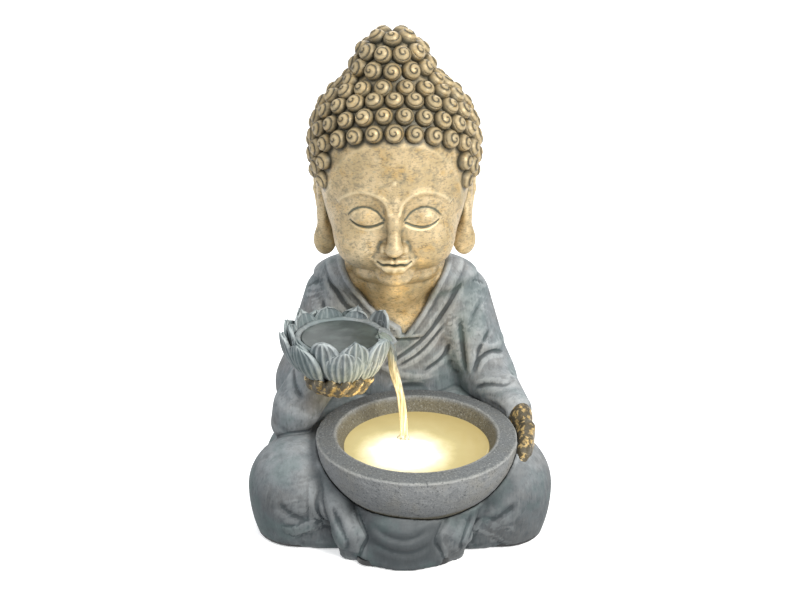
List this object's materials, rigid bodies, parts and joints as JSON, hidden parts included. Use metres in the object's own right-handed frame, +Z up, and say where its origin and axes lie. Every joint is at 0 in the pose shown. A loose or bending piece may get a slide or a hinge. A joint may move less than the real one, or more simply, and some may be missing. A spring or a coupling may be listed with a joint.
{
  "type": "tabletop water fountain",
  "caption": "Seated robed figure, hollow cast, pouring water from a lotus cup into a lit lap basin; pump, light, hose and service door inside.",
  "frame": {"origin": "centre of the bounding box's bottom face, on the table under the figure", "axes": "+Z up, the figure faces -Y, +X is the figure's left"},
  "size_m": [0.248, 0.2336, 0.3997],
  "materials": {
    "robe_resin": "weathered, dry-brushed cast resin, matte",
    "gilt_resin": "antique gilt over cast resin, low sheen",
    "basin_stone": "grainy, matte",
    "lotus_resin": "weathered cast resin, matte",
    "black_plastic": "moulded",
    "grey_plastic": "moulded",
    "white_plastic": "moulded",
    "led_yellow": "phosphor",
    "clear_lens": "clear, domed",
    "magnet": "sintered ferrite",
    "ceramic_white": "ground",
    "rubber": "soft, matte",
    "steel": "zinc plated",
    "brass": "turned",
    "hose_vinyl": "soft translucent vinyl",
    "cable_black": "vinyl sheath"
  },
  "bodies": {
    "fountain": {"figure_shell": "robe_resin", "head_shell": "gilt_resin", "left_hand": "gilt_resin", "right_hand": "gilt_resin", "lap_basin": "basin_stone", "lotus_cup": "lotus_resin", "base_plate": "black_plastic", "base_screws": "steel", "rubber_feet": "rubber", "door_inserts": "brass", "led_housing": "white_plastic", "led_board": "white_plastic", "led_emitters": "led_yellow", "led_seal": "rubber", "led_lens": "clear_lens", "led_post": "black_plastic", "pump_motor_body": "black_plastic", "pump_volute": "black_plastic", "pump_shaft": "ceramic_white", "front_shaft_bush": "rubber", "rear_shaft_bush": "rubber", "suction_feet": "rubber", "riser_hose": "hose_vinyl", "hose_grommet": "rubber", "hose_clip": "steel", "cup_inlet_fitting": "black_plastic", "cup_inlet_washer": "rubber", "cup_inlet_nut": "black_plastic", "pump_lead": "cable_black", "led_lead": "cable_black", "lead_grommet": "rubber", "power_inlet": "black_plastic", "inlet_pin": "steel", "inlet_washer": "rubber", "inlet_nut": "steel"},
    "cover": {"basin_cover": "basin_stone"},
    "door": {"service_door": "robe_resin", "door_gasket": "rubber", "door_screws": "steel"},
    "strainer": {"pump_strainer": "black_plastic"},
    "dial": {"flow_dial": "grey_plastic"},
    "rotor": {"impeller": "white_plastic", "rotor_magnet": "magnet"}
  },
  "joints": [
    {"name": "impeller_spin", "type": "hinge", "parent": "fountain", "child": "rotor", "pos_m": [0.024, -0.038, 0.048], "axis": [1, 0, 0], "continuous": true},
    {"name": "basin_cover_lift", "type": "slide", "parent": "fountain", "child": "cover", "axis": [0, 0, 1], "range_m": [0, 0.03]},
    {"name": "service_door_pull", "type": "slide", "parent": "fountain", "child": "door", "axis": [0, 1, 0], "range_m": [0, 0.03]},
    {"name": "strainer_pull", "type": "slide", "parent": "fountain", "child": "strainer", "axis": [-1, 0, 0], "range_m": [0, 0.008]},
    {"name": "flow_dial_turn", "type": "hinge", "parent": "strainer", "child": "dial", "pos_m": [0.008, -0.038, 0.048], "axis": [1, 0, 0], "range_deg": [0, 22.5]}
  ]
}
